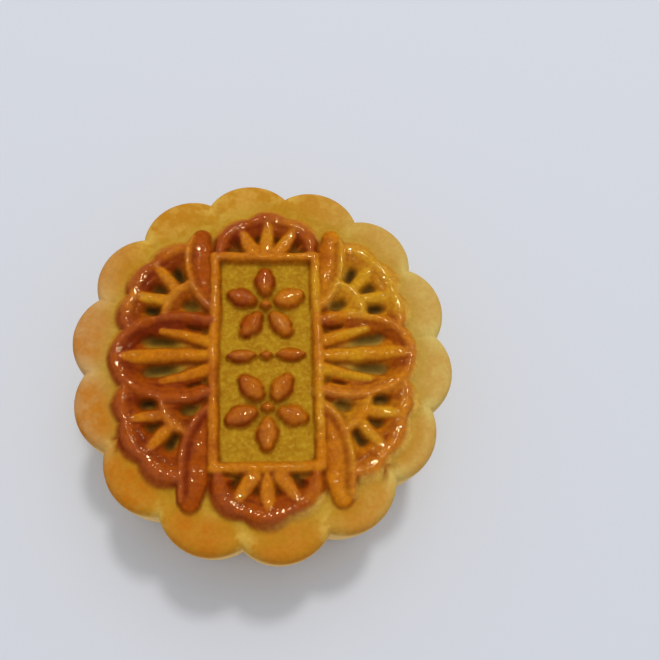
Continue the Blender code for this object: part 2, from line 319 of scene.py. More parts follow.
def smooth_max(one, other, blend):
    """The higher of two heights, with a fillet where they differ by less than blend."""
    near = np.maximum(blend - np.abs(one - other), 0.0)
    return np.maximum(one, other) + near * near / (4.0 * blend)


def waves(x, y, wave):
    """Smooth unevenness of about this wave's height and length, up and down."""
    draw = np.random.default_rng(wave.seed)
    total = np.zeros_like(x)
    for _ in range(WAVE_COUNT):
        turn = draw.uniform(0.0, 2 * math.pi)
        pace = 2 * math.pi / (wave.length * draw.uniform(*WAVE_SPREAD))
        phase = draw.uniform(0.0, 2 * math.pi)
        total += np.sin(pace * (x * math.cos(turn) + y * math.sin(turn)) + phase)
    return wave.height * (total / math.sqrt(2.0 * WAVE_COUNT))


def blurred(values, cells, times=3):
    """The grid's values averaged over squares that reach this many cells each way, so many times."""
    for _ in range(times):
        for axis in (0, 1):
            pad = [(cells, cells) if which == axis else (0, 0) for which in (0, 1)]
            padded = np.pad(values, pad, mode="edge")
            total = np.zeros_like(values)
            for shift in range(2 * cells + 1):
                total += np.take(padded, range(shift, shift + values.shape[axis]), axis=axis)
            values = total / (2 * cells + 1)
    return values


def scallop_depth(angle):
    """How far the scalloped outline lies inside the cake's full radius."""
    pitch = 2 * math.pi / LOBES
    offset = (angle - FIRST_GROOVE) % pitch - pitch / 2
    centre = CAKE_RADIUS - LOBE_RADIUS
    across = centre * np.sin(offset)
    return CAKE_RADIUS - centre * np.cos(offset) - np.sqrt(LOBE_RADIUS**2 - across**2)


def groove_share(angle):
    """How far the outline is pressed in here, from 0 on a lobe's crown to 1 in a groove."""
    return scallop_depth(angle) / scallop_depth(FIRST_GROOVE)


def settled(angle):
    """The cake's width in this direction, as a share of an even cake's."""
    cosine, sine = SETTLED_TWICE
    twice = cosine * np.cos(2 * angle) + sine * np.sin(2 * angle)
    cosine, sine = SETTLED_THRICE
    return 1.0 + twice + cosine * np.cos(3 * angle) + sine * np.sin(3 * angle)


def arc(start, end, bulge=0.0):
    """Points of the circular arc from start to end whose middle lies bulge to the left of the chord."""
    chord = math.dist(start, end)
    along = ((end[0] - start[0]) / chord, (end[1] - start[1]) / chord)
    left = (-along[1], along[0])
    steps = max(2, round(chord * (1 + 2 * (bulge / chord) ** 2) / ARC_STEP))
    half_turn = 2 * math.atan(2 * bulge / chord)
    points = []
    for step in range(steps + 1):
        share = step / steps
        forward, aside = share * chord, 0.0
        if bulge:
            radius = (chord**2 / 4 + bulge**2) / (2 * bulge)
            turn = half_turn * (2 * share - 1)
            forward = chord / 2 + radius * math.sin(turn)
            aside = radius * math.cos(turn) - radius + bulge
        x = start[0] + along[0] * forward + left[0] * aside
        y = start[1] + along[1] * forward + left[1] * aside
        points.append((x, y))
    return points


def chain(corners, bulges):
    """Arcs from corner to corner, as one line of points."""
    points = [corners[0]]
    for start, end, bulge in zip(corners, corners[1:], bulges):
        points += arc(start, end, bulge)[1:]
    return points


def mirrored(ridges, side_x, side_y):
    """These ridges on the sides with these signs, where each keeps its inside on its left."""
    turned = -1 if side_x * side_y < 0 else 1
    copies = []
    for ridge in ridges:
        line = [(x * side_x, y * side_y) for x, y in ridge.line]
        copies.append(ridge._replace(line=line[::turned], widths=ridge.widths[::turned]))
    return copies


def even(line, width, style, sink=0.0):
    """A ridge that keeps its half-width."""
    return Ridge(line, [width] * len(line), RELIEF_DEPTH - sink, style)


def growing(line, first, final, style, sink=0.0):
    """A ridge whose half-width changes evenly from first to final."""
    widths = list(np.linspace(first, final, len(line)))
    return Ridge(line, widths, RELIEF_DEPTH - sink, style)


def swollen(line, width, ends, style, sink=0.0):
    """A ridge of this half-width at its middle, and of ends times that at its ends."""
    shares = ends + (1 - ends) * np.sqrt(np.abs(np.sin(np.linspace(0.0, math.pi, len(line)))))
    return Ridge(line, list(width * shares), RELIEF_DEPTH - sink, style)


def lobed(corners, bulges, style):
    """A ridge in arcs from corner to corner, wide in the middle of each arc and narrow at its ends."""
    line, widths = [corners[0]], [OUTLINE * CUSP_SHARE]
    for start, end, bulge in zip(corners, corners[1:], bulges):
        points = arc(start, end, bulge)[1:]
        swell = np.sin(np.linspace(0.0, math.pi, len(points) + 1))[1:]
        line += points
        widths += list(OUTLINE * (CUSP_SHARE + (LOBE_SHARE - CUSP_SHARE) * swell))
    return Ridge(line, widths, RELIEF_DEPTH, style)


def frame_ridges():
    """The four bars of the long frame."""
    wide, far, near = FRAME_HALF_WIDTH, FRAME_FAR_END, FRAME_NEAR_END
    sides = [arc((x, -near), (x, far)) for x in (-wide, wide)]
    ends = [arc((-wide, y), (wide, y)) for y in (-near, far)]
    return [even(line, BAR, FRAME_BAR) for line in sides + ends]


def straight_spoke(line):
    """A spoke that narrows outwards."""
    return growing(line, SPOKE_FOOT, SPOKE_TIP, SPOKE, SPOKE_SINK)


def almond_spoke(line):
    """A spoke that is widest at its middle."""
    return swollen(line, ALMOND, ALMOND_ENDS, SPOKE, SPOKE_SINK)


def end_fan_ridges(frame_end, middle_spoke):
    """The three-lobed fan beyond the frame's end at +Y, with its three spokes."""
    foot_x, foot_y = END_FAN_FOOT[0], frame_end + END_FAN_FOOT[1]
    cusp_x, cusp_y = END_FAN_CUSP[0], frame_end + END_FAN_CUSP[1]
    tip_x, tip_y = END_SPOKE_TIPS[0], frame_end + END_SPOKE_TIPS[1]
    corners = [(foot_x, foot_y), (cusp_x, cusp_y), (-cusp_x, cusp_y), (-foot_x, foot_y)]
    middle = arc((0.0, foot_y), (0.0, foot_y + END_SPOKE_LENGTH))
    ridges = [lobed(corners, END_FAN_BULGES, EDGE), middle_spoke(middle)]
    for side in (-1, 1):
        ridges.append(straight_spoke(arc((side * END_SPOKE_FEET, foot_y), (side * tip_x, tip_y))))
    return ridges


def petal_ridges():
    """The veined petal on the frame's side at +X."""
    start = math.acos((PETAL_ROOT - PETAL_CENTRE) / PETAL_REACH)
    turns = np.linspace(-start, start, PETAL_STEPS + 1)
    outline = list(zip(PETAL_CENTRE + PETAL_REACH * np.cos(turns), PETAL_RISE * np.sin(turns)))
    vein = arc((PETAL_ROOT, 0.0), (PETAL_CENTRE + PETAL_REACH, 0.0))
    upper = arc((PETAL_ROOT, SIDE_VEIN_ROOT), SIDE_VEIN_TIP, SIDE_VEIN_BULGE)
    side_vein = [growing(upper, SIDE_VEIN, NARROW_END * SIDE_VEIN, RIB, SPOKE_SINK)]
    ridges = [even(outline, OUTLINE, PETAL_EDGE), swollen(vein, VEIN, VEIN_ENDS, RIB, SPOKE_SINK)]
    return ridges + side_vein + mirrored(side_vein, 1, -1)


def corner_fan_ridges():
    """The smaller fan in the corner at +X and +Y, round an arched hub."""
    hub = arc(*HUB_ENDS, HUB_BULGE)
    ridges = [lobed(CORNER_CUSPS, CORNER_BULGES, EDGE), even(hub, HUB, HUB_EDGE)]
    for ends in CORNER_SPOKES:
        ridges.append(even(arc(*ends), CORNER_SPOKE, SPOKE, SPOKE_SINK))
    return ridges


def leaf_ridges(tip):
    """The long leaf between the frame and the corner fan at +X and +Y: a flat blade inside a rib."""
    edge = chain((*LEAF_EDGE, (tip[0] + LEAF_BREADTH, tip[1])), LEAF_EDGE_BULGES)
    rib = growing(edge, HUB, NARROW_END * HUB, LEAF_RIB)
    line = chain((*BLADE_LINE, tip), BLADE_BULGES)
    widths = list(np.interp(np.linspace(0.0, 1.0, len(line)), BLADE_STATIONS, BLADE_WIDTHS))
    return [rib, Ridge(line, widths, RELIEF_DEPTH - BLADE_SINK, BLADE)]


def bead(centre_y, half_length, half_width):
    """A round bead on the frame's long axis."""
    line = arc((-half_length, centre_y), (half_length, centre_y))
    return swollen(line, half_width, BEAD_ENDS, MOTIF)


def rosette_ridges(centre_y, turn):
    """Almond-shaped petals round a bead, the ornament of one half of the frame."""
    ridges = [bead(centre_y, *ROSETTE_BEAD)]
    for petal in range(ROSETTE_PETALS):
        angle = turn + 2 * math.pi * petal / ROSETTE_PETALS
        way = (math.cos(angle), math.sin(angle))
        root, tip = [(reach * way[0], centre_y + reach * way[1]) for reach in ROSETTE_LINE]
        ridges.append(swollen(arc(root, tip), ROSETTE_WIDTH, ROSETTE_ENDS, MOTIF))
    return ridges


def sprig_ridges():
    """A bead between two leaves, across the middle of the frame."""
    root, tip = [(reach, 0.0) for reach in SPRIG_LINE]
    leaf = swollen(arc(root, tip), SPRIG_WIDTH, SPRIG_ENDS, MOTIF)
    return [bead(0.0, *SPRIG_BEAD), leaf, *mirrored([leaf], -1, 1)]


def all_ridges():
    """Every ridge of the relief, about the relief's own centre."""
    ridges = frame_ridges() + sprig_ridges()
    fans = (
        (-1, FRAME_NEAR_END, almond_spoke, NEAR_LEAF_TIP),
        (1, FRAME_FAR_END, straight_spoke, FAR_LEAF_TIP),
    )
    for side, frame_end, middle_spoke, leaf_tip in fans:
        ridges += mirrored(end_fan_ridges(frame_end, middle_spoke), 1, side)
        ridges += mirrored(petal_ridges(), side, 1)
        ridges += rosette_ridges(side * ROSETTE_OFFSET, side * math.pi / 2)
        for other in (-1, 1):
            ridges += mirrored(corner_fan_ridges() + leaf_ridges(leaf_tip), other, side)
    return ridges


def all_hollows():
    """Every hollow of the relief, about the relief's own centre."""
    hollows = []
    for side_y, frame_end in ((-1, FRAME_NEAR_END), (1, FRAME_FAR_END)):
        beyond_end = [hollow._replace(y=hollow.y + frame_end) for hollow in END_HOLLOWS]
        for side_x in (-1, 1):
            for hollow in (*beyond_end, *CORNER_HOLLOWS, *PETAL_HOLLOWS):
                turn = hollow.turn * side_x * side_y
                hollows.append(hollow._replace(x=hollow.x * side_x, y=hollow.y * side_y, turn=turn))
    return hollows


def offsets_from(line, x, y):
    """For each place its distance to the line, its signed offset (left of the line is positive)
    and how far along the line its nearest point is, in points. At a corner, two stretches are
    equally near, and the one that the place lies further beside is taken."""
    nearest = np.full(x.shape, FAR_AWAY)
    offset = np.zeros(x.shape)
    along = np.zeros(x.shape)
    for number, (start, end) in enumerate(zip(line, line[1:])):
        run = math.dist(start, end)
        way = ((end[0] - start[0]) / run, (end[1] - start[1]) / run)
        from_x, from_y = x - start[0], y - start[1]
        forward = np.clip(from_x * way[0] + from_y * way[1], 0.0, run)
        aside = from_y * way[0] - from_x * way[1]
        gap = np.hypot(from_x - forward * way[0], from_y - forward * way[1])
        rank = gap - TIE_BREAK * np.abs(aside)
        better = rank < nearest
        nearest = np.where(better, rank, nearest)
        offset = np.where(better, np.copysign(gap, aside), offset)
        along = np.where(better, number + forward / run, along)
    return np.abs(offset), offset, along


def ridge_height(ridge, x, y):
    """Height of one ridge's surface over the ground, how much of a flank and of an outer wall each
    place is (0 to 1), and the distance to its foot."""
    distance, offset, along = offsets_from(ridge.line, x, y)
    width = np.interp(along, range(len(ridge.widths)), ridge.widths)
    lengths = np.cumsum([0.0] + [math.dist(a, b) for a, b in zip(ridge.line, ridge.line[1:])])
    place = np.interp(along, range(len(lengths)), lengths)
    from_end = np.minimum(place, lengths[-1] - place)
    style = ridge.style
    inside = (offset > 0) * smooth_step(0.0, SLOPE_TAPER, from_end) * (style.slope > 0)
    reach = width * style.wall + style.slope * inside
    power = style.wall_power + (style.slope_power - style.wall_power) * inside
    fall = np.minimum(distance / reach, FALL_LIMIT) ** power
    steep = smooth_step(*WALL_FLANK, fall)
    fading = 1.0 - SLOPE_FLANK_LOSS * smooth_step(*SLOPE_FLANK_END, fall)
    sloping = smooth_step(*SLOPE_FLANK, fall) * fading
    flank = steep + (sloping - steep) * inside
    outer = steep * (offset < 0) * (style.slope > 0)
    ripple = RIPPLES * np.cos(2 * math.pi * distance / RIPPLE_PITCH)
    ripple = ripple * smooth_step(*RIPPLE_START, distance) * inside
    return ridge.rise * (1.0 - fall) + ripple, flank, outer, distance - width * style.wall


class Relief:
    """The ridges gathered over a grid of places, as heights over the ground's level."""

    def __init__(self, x, y):
        self.x, self.y = x, y
        self.height = np.full(x.shape, NO_RIDGE)
        self.foot_gap = np.full(x.shape, FAR_AWAY)
        self.weight = np.full(x.shape, LEAST_WEIGHT)
        self.sums = {name: np.zeros(x.shape) for name in ("browning", "flank", "outer_wall")}

    def places_near(self, ridge):
        """Which places lie within MARGIN of the ridge's box."""
        line = np.array(ridge.line)
        low, high = line.min(axis=0) - MARGIN, line.max(axis=0) + MARGIN
        within_x = (self.x > low[0]) & (self.x < high[0])
        return within_x & (self.y > low[1]) & (self.y < high[1])

    def add(self, ridge):
        """Raise one ridge, with a fillet where it meets those that are there."""
        near = self.places_near(ridge)
        height, flank, outer, gap = ridge_height(ridge, self.x[near], self.y[near])
        self.height[near] = smooth_max(self.height[near], height, RIDGE_FILLET)
        self.foot_gap[near] = np.minimum(self.foot_gap[near], gap)
        share = np.exp(np.clip(height, -SHARING_LIMIT, SHARING_LIMIT) / SHARING)
        self.weight[near] += share
        self.sums["browning"][near] += ridge.style.browning * share
        self.sums["flank"][near] += flank * share
        self.sums["outer_wall"][near] += outer * share

    def masks(self):
        """How brown each place is, and how much of a flank and of an outer wall (0 to 1)."""
        return {name: total / self.weight for name, total in self.sums.items()}


def dent(from_x, from_y, hollow):
    """1 in the middle of a hollow, and 0 outside it."""
    turn = math.radians(hollow.turn)
    forward = from_x * math.cos(turn) + from_y * math.sin(turn)
    aside = from_y * math.cos(turn) - from_x * math.sin(turn)
    lengthwise = (forward / hollow.length) ** LENGTHWISE_POWER
    return np.exp(-lengthwise - np.abs(aside / hollow.width) ** SIDEWAYS_POWER)


def hollow_depths(x, y):
    """How deep the hollows are pressed at each place, and how much painted shadow lies in them, most on
    their far side, which their far wall shades.
    """
    deep, shadow = np.zeros(x.shape), np.zeros(x.shape)
    for hollow in all_hollows():
        from_x, from_y = x - hollow.x, y - hollow.y
        deep += HOLLOW_DEPTH * dent(from_x, from_y, hollow)
        shadow += hollow.darkness * dent(from_x, from_y - DARK_SHIFT, hollow)
    return deep, shadow


def pressed_askew(x, y):
    """Where each place lies on an even relief, about the relief's own centre."""
    lean = FAR_FAN_LEAN * smooth_step(*LEANING, y)
    aside = waves(x, y, SKEW_ACROSS) + waves(x, y, WOBBLE_ACROSS)
    forward = waves(x, y, SKEW_ALONG) + waves(x, y, WOBBLE_ALONG)
    return x - RELIEF_CENTRE[0] - lean + aside, y - RELIEF_CENTRE[1] + forward


def press_relief(x, y, ground):
    """The relief over this ground: its height, and its masks, which add to those of the ridges how much
    of a ridge and of a crest each place is, how much painted shadow of a pit it takes, and how near a
    ridge's foot. The hollows are pressed into the ridges that have an inner slope, and the upright ones
    stand over them."""
    x, y = pressed_askew(x, y)
    deep, shadow = hollow_depths(x, y)
    relief = Relief(x, y)
    ridges = all_ridges()
    for ridge in ridges:
        if ridge.style.slope > 0:
            relief.add(ridge)
    relief.height -= deep
    for ridge in ridges:
        if ridge.style.slope == 0:
            relief.add(ridge)
    uneven = waves(x, y, RIDGE_WAVES) + waves(x, y, RIDGE_FINE_WAVES)
    raised = relief.height + uneven * smooth_step(*WAVY_RIDGE, relief.height)
    gap = np.maximum(relief.foot_gap, 0.0)
    ground = ground - GROUND_SHARE * deep - CHANNEL_DEPTH * np.exp(-((gap / CHANNEL_WIDTH) ** 2))
    lift = GROUND + raised - ground
    masks = relief.masks()
    masks["on_ridge"] = smooth_step(*RIDGE_LIFTS, lift)
    masks["crest"] = smooth_step(*CREST_LIFTS, lift)
    masks["pit_shadow"] = shadow * smooth_step(*PIT_LIFTS, lift)
    masks["channel"] = np.exp(-((gap / CHANNEL_TINT_WIDTH) ** 2))
    return smooth_max(ground, GROUND + raised, GROUND_FILLET), masks


def disc_places(cells):
    """Radius and angle of a square grid's points laid over the unit disc in even cells."""
    side = np.linspace(-1.0, 1.0, cells + 1)
    a, b = np.meshgrid(side, side, indexing="ij")
    sideways = np.abs(a) > np.abs(b)
    radius = np.where(sideways, a, b)
    safe_a, safe_b = np.where(a == 0, 1.0, a), np.where(b == 0, 1.0, b)
    turn = np.where(sideways, math.pi / 4 * b / safe_a, math.pi / 2 - math.pi / 4 * a / safe_b)
    x, y = radius * np.cos(turn), radius * np.sin(turn)
    return np.hypot(x, y), np.arctan2(y, x)


def top_surface():
    """The top as far as the shoulder: x, y and z of the grid's points, and the relief's masks."""
    share, angle = disc_places(CELLS)
    flat_radius = CAKE_RADIUS - SHOULDER_WIDTH
    scallop = scallop_depth(angle) * share**SCALLOP_FADE
    radius = share * flat_radius - scallop
    reach = radius * settled(angle)
    x, y = reach * np.cos(angle), reach * np.sin(angle)
    outward = smooth_step(VALLEY_START, flat_radius, radius + scallop)
    ground = GROUND - GROOVE_DIP * groove_share(angle) ** GROOVE_POWER * outward
    height, masks = press_relief(x, y, ground + waves(x, y, TOP_WAVES))
    height = height + waves(x, y, TOP_FINE_WAVES) - TOP_FINE_WAVES.height
    height = (1.0 - SOFTENING) * height + SOFTENING * blurred(height, 1)
    return x, y, np.minimum(height, CREST_HEIGHT - TOP_MARGIN), masks


def side_profile(angle):
    """Radius and height of each ring from the shoulder down to the base, in these directions."""
    depth = scallop_depth(angle)
    groove = groove_share(angle) ** GROOVE_POWER
    rings = []
    for ring in range(1, SHOULDER_RINGS + 1):
        turn = math.pi / 2 * (1.0 - ring / SHOULDER_RINGS)
        radius = CAKE_RADIUS - SHOULDER_WIDTH * (1 - math.cos(turn) ** SHOULDER_POWER)
        height = GROUND - SHOULDER_DROP * (1 - math.sin(turn) ** SHOULDER_POWER)
        rings.append((radius - depth, height - GROOVE_DIP * math.sin(turn) * groove))
    belly = GROUND - SHOULDER_DROP
    for ring in range(1, SIDE_RINGS + 1):
        share = ring / SIDE_RINGS
        height = belly + (FOOT_EDGE - belly) * share
        rings.append((CAKE_RADIUS - TAPER * share**2 - depth, height))
    for ring in range(1, FOOT_RINGS + 1):
        turn = math.pi / 2 * (1.0 - ring / FOOT_RINGS)
        scallop = FOOT_SCALLOP + (1 - FOOT_SCALLOP) * math.sin(turn)
        radius = CAKE_RADIUS - TAPER - FOOT_EDGE * (1 - math.sin(turn)) - scallop * depth
        rings.append((radius, FOOT_EDGE * (1 - math.cos(turn))))
    return rings


def side_rings(angle):
    """The rings from the shoulder down to the base, each as the x, y and z of its points."""
    rings = []
    for radius, height in side_profile(angle):
        height = height + np.zeros_like(angle)
        inward = SIDE_SINK + waves(CAKE_RADIUS * angle, height, SIDE_WAVES)
        inward = np.maximum(inward * smooth_step(*WAVY_SIDE, height), 0.0)
        reach = (radius - inward) * settled(angle)
        rings.append(np.stack([reach * np.cos(angle), reach * np.sin(angle), height], axis=1))
    return rings


def edge_loop(cells):
    """Grid numbers of the points on the square's edge, counter-clockwise from the corner at +a, -b."""
    wide = cells + 1
    right = [cells * wide + j for j in range(cells)]
    top = [i * wide + cells for i in range(cells, 0, -1)]
    left = list(range(cells, 0, -1))
    bottom = [i * wide for i in range(cells)]
    return right + top + left + bottom


def crust_faces(ring_count):
    """The quads of the top and the side, and the fan of the base, as point numbers."""
    wide = CELLS + 1
    number = np.arange(wide * wide).reshape(wide, wide)
    corners = (number[:-1, :-1], number[1:, :-1], number[1:, 1:], number[:-1, 1:])
    faces = np.stack([corner.ravel() for corner in corners], axis=1).tolist()
    upper = edge_loop(CELLS)
    around = len(upper)
    first = wide * wide
    for ring in range(ring_count):
        lower = list(range(first + ring * around, first + (ring + 1) * around))
        for step in range(around):
            after = (step + 1) % around
            faces.append((upper[step], lower[step], lower[after], upper[after]))
        upper = lower
    centre = first + ring_count * around
    for step in range(around):
        faces.append((upper[step], centre, upper[(step + 1) % around]))
    return faces


def toasted(x, y):
    """How toasted the lobes are here: their crowns, and most of all towards the near left."""
    angle = np.arctan2(y, x)
    belt = smooth_step(*TOAST_BELT, np.hypot(x, y) / settled(angle))
    crown = smooth_step(*TOAST_CROWN, 1.0 - groove_share(angle))
    towards = 0.5 + 0.5 * np.cos(angle - TOAST_WAY)
    return belt * crown * (TOAST_LEAST + (1.0 - TOAST_LEAST) * towards**2)


def add_shade_masks(masks, x, y, z):
    """Add how much painted shade each place takes as a hollow and as a crease, and how toasted it is."""
    crowded = blurred(masks["on_ridge"], CROWD_CELLS)
    hollow = smooth_step(*HOLLOW_DEPTHS, blurred(z, HOLLOW_CELLS) - z)
    crease_shade = smooth_step(*CREASE_DEPTHS, blurred(z, CREASE_CELLS) - z)
    masks["hollow"] = hollow * smooth_step(*HOLLOW_CROWD, crowded)
    masks["crease_shade"] = crease_shade * smooth_step(*CREASE_CROWD, crowded)
    masks["outer_wall"] *= 1.0 - smooth_step(*WALL_CROWD, crowded)
    masks["toast"] = toasted(x, y)


def write_masks(mesh, masks, side):
    """Store the masks on the mesh's points, first the top's and then the side's, which has only toast."""
    side_toast = toasted(side[:, 0], side[:, 1]) * smooth_step(*TOASTED_SIDE, side[:, 2])
    for name, values in masks.items():
        below = side_toast if name == "toast" else np.zeros(len(side))
        above = blurred(values, 1, 1).ravel()
        layer = mesh.attributes.new(name, "FLOAT", "POINT")
        layer.data.foreach_set("value", np.concatenate([above, below]).astype(np.float32))


def build_crust():
    """The whole crust as one closed mesh, with the masks that its material reads."""
    x, y, z, masks = top_surface()
    add_shade_masks(masks, x, y, z)
    top = np.stack([x.ravel(), y.ravel(), z.ravel()], axis=1)
    edge = top[edge_loop(CELLS)]
    rings = side_rings(np.arctan2(edge[:, 1], edge[:, 0]))
    base_centre = np.zeros((1, 3))
    side = np.concatenate([*rings, base_centre])
    points = np.concatenate([top, side]) * MM
    mesh = bpy.data.meshes.new("crust")
    mesh.from_pydata(points.tolist(), [], crust_faces(len(rings)))
    mesh.shade_smooth()
    write_masks(mesh, masks, side)
    crust = bpy.data.objects.new("crust", mesh)
    bpy.context.scene.collection.objects.link(crust)
    return crust


def linear(red, green, blue):
    """This screen colour of 0 to 255 as the linear colour that a shader takes."""
    shares = [channel / 255 for channel in (red, green, blue)]
    return tuple(s / 12.92 if s <= 0.04045 else ((s + 0.055) / 1.055) ** 2.4 for s in shares) + (1.0,)


# Colours, where three tones go from the least baked to the most
RIM_GOLD = linear(192, 135, 36)
RIM_PALE = linear(212, 168, 70)
RIM_LEFT = linear(200, 158, 104)
RIM_RIGHT = linear(208, 180, 100)
# Olive at the relief's foot: less browned there, and painted shade from the walls beside it
CHANNEL_OLIVE_AND_SHADE = linear(178, 134, 28)
TOAST = linear(190, 114, 22)
PALE_SIDE = linear(236, 198, 124)
FIELD_OLIVE = linear(170, 120, 20)
FIELD_GREEN = linear(180, 134, 26)
FIELD_GRAIN = linear(196, 158, 50)
CREST_TONES = (linear(200, 142, 24), linear(194, 114, 14), linear(160, 72, 8))
# Flank tones: browner with pooled egg wash, and darker as painted shade
FLANK_BAKE_AND_SHADE_TONES = (linear(184, 118, 22), linear(144, 66, 8), linear(114, 38, 6))
PALE_WALL = linear(222, 176, 78)
# Outer walls that face the far lights: painted light
LIT_GOLD_WALL = linear(196, 134, 40)
BROWN_WALL = linear(150, 74, 24)
# Painted shade in creases and hollows, and painted shadow in pits
CREASE_SHADE_BROWN = linear(124, 52, 8)
HOLLOW_SHADE_BROWN = linear(104, 60, 12)
PIT_SHADOW_DARK = linear(52, 35, 12)
FRECKLE_DARK = (0.90, 0.87, 0.84, 1.0)
FRECKLE_LIGHT = (1.09, 1.11, 1.12, 1.0)
TABLE_WHITE = linear(215, 219, 228)

# Noise: the size of its features and the detail in them, and the range that nearly all of it fills
PATCHES = (9.0, 3.0)
MOTTLE = (2.6, 2.0)
GRAIN = (0.75, 1.0)
NOISE_ROUGHNESS = 0.55
NOISE = (0.3, 0.7)

# Where the looks change. Two numbers are the range over which a look sets in, and four are that
# range and the strengths at its start and its end. A lone number is the strength all over.
# The rim and the side, across and up the cake in millimetres, and by their noise
RIM_MOTTLE = (*NOISE, -0.16, 0.16)
RIM_PATCHES = (0.35, 0.65)
LEFT_RIM = (-22.0, -34.0)
RIGHT_RIM = (4.0, 34.0)
CHANNEL_TINT = 0.62
TOAST_MOTTLE = (0.30, 0.62, 0.45, 1.0)
LOWER_SIDE = (22.2, 19.6, 0.0, 0.9)
FOOT = (3.0, 0.4)
FOOT_MOTTLE = (*NOISE, 0.35, 0.75)

# The ground inside the frame, across and along the cake, and by its noise
FIELD_SIDES = (9.2, 8.6)
FIELD_ENDS = (20.2, 19.2)
FIELD_MOTTLE = (0.40, 0.60)
FIELD_GRAINS = (0.40, 0.80, 0.0, 0.5)

# How brown the relief baked: its share and what is added across the cake, in the far corners and
# by patches
BAKED_SHARE = (24.0, -12.0, 0.56, 0.98)
BAKED_ADDED = (20.0, -20.0, -0.08, 0.22)
FAR_CORNER_ALONG = (3.0, 11.0)
FAR_CORNER_ACROSS = (10.0, 17.0)
FAR_CORNER_ADDED = (0.0, 1.0, 0.04, -0.46)
BAKED_PATCHES = (*NOISE, -0.2, 0.2)

# The flanks and the outer walls, by how far they face +Y, by noise and across the cake. Flanks that face
# away from the far lights take more painted shade, and outer walls that face them take painted light
FLANK_SHADE_FACING = (0.45, -0.15, 0.30, 1.0)
FLANK_MOTTLE = (*NOISE, -0.2, 0.2)
WALL_ACROSS = (-3.0, 10.0)
WALL_LIGHT_FACING = (-0.05, 0.35)
WALL_TINT = 0.85

# Painted shade in what is pressed between the ridges, by how brown it baked there and across the cake,
# and the freckles from the ground to the ridges
CREASE_BAKED = (0.0, 0.6, 0.35, 0.75)
HOLLOW_TINT = 0.55
PIT_ACROSS = (0.0, 20.0, 1.0, 0.9)
FRECKLES = (0.0, 1.0, 0.4, 1.0)

# The egg wash: where it lies, how rough the crust is under it, and the coat on the crests
GLAZE = (0.1, 0.7)
GLAZE_ROUGHNESS = (0.0, 1.0, 0.62, 0.42)
MOTTLE_ROUGHNESS = (*NOISE, -0.05, 0.10)
SHINE = 0.02
COAT_MOTTLE = (0.34, 0.50, 0.3, 1.0)
COAT_FLANK = (0.1, 0.8, 1.0, 0.2)
COAT_WEIGHT = 0.36
COAT_ROUGHNESS = 0.08

# Bumps: their height, their size and the detail in them, and the grain's strength on the ridges
UNEVEN_BUMPS = (0.07, 2.0, 1.0)
GRAINY_BUMPS = (0.06, 0.8, 0.0)
GRAINY_STRENGTH = (0.0, 1.0, 0.5, 1.0)
COAT_BUMPS = (0.05, 0.5, 0.0)


